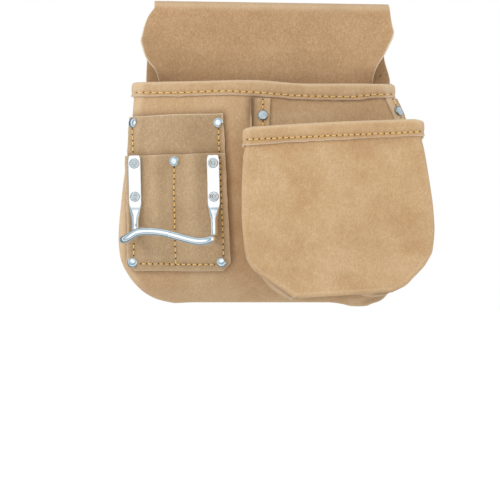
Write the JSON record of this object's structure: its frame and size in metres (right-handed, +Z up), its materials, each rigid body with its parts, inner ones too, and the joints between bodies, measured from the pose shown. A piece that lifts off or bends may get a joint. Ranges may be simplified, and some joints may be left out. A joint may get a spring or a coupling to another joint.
{
  "type": "carpenter nail apron",
  "caption": "Suede nail and tool pouch with a belt tunnel, an open nail pocket, a boxy tape pocket, patch slots for a marker and pencils, and a steel hammer loop.",
  "frame": {"origin": "middle of the belt tunnel, where the apron hangs on its belt", "axes": "+Z up, the front with its pockets faces -Y, +X to the right in a view of the front"},
  "size_m": [0.255, 0.1055, 0.2528],
  "materials": {
    "suede": "napped split suede, tan",
    "bright_steel": "bright plated steel",
    "nickel_rivets": "polished nickel"
  },
  "bodies": {
    "root": {"back_panel": "suede", "nail_pocket": "suede", "tape_pocket": "suede", "marker_patch": "suede", "pencil_patch": "suede", "hammer_loop": "bright_steel", "patch_rivet_top_left": "nickel_rivets", "patch_rivet_top_right": "nickel_rivets", "patch_rivet_middle": "nickel_rivets", "patch_rivet_bottom_left": "nickel_rivets", "patch_rivet_bottom_right": "nickel_rivets", "loop_rivet_left_upper": "nickel_rivets", "loop_rivet_left_lower": "nickel_rivets", "loop_rivet_right_upper": "nickel_rivets", "loop_rivet_right_lower": "nickel_rivets", "tape_rivet_left": "nickel_rivets", "tape_rivet_right": "nickel_rivets"}
  },
  "joints": []
}
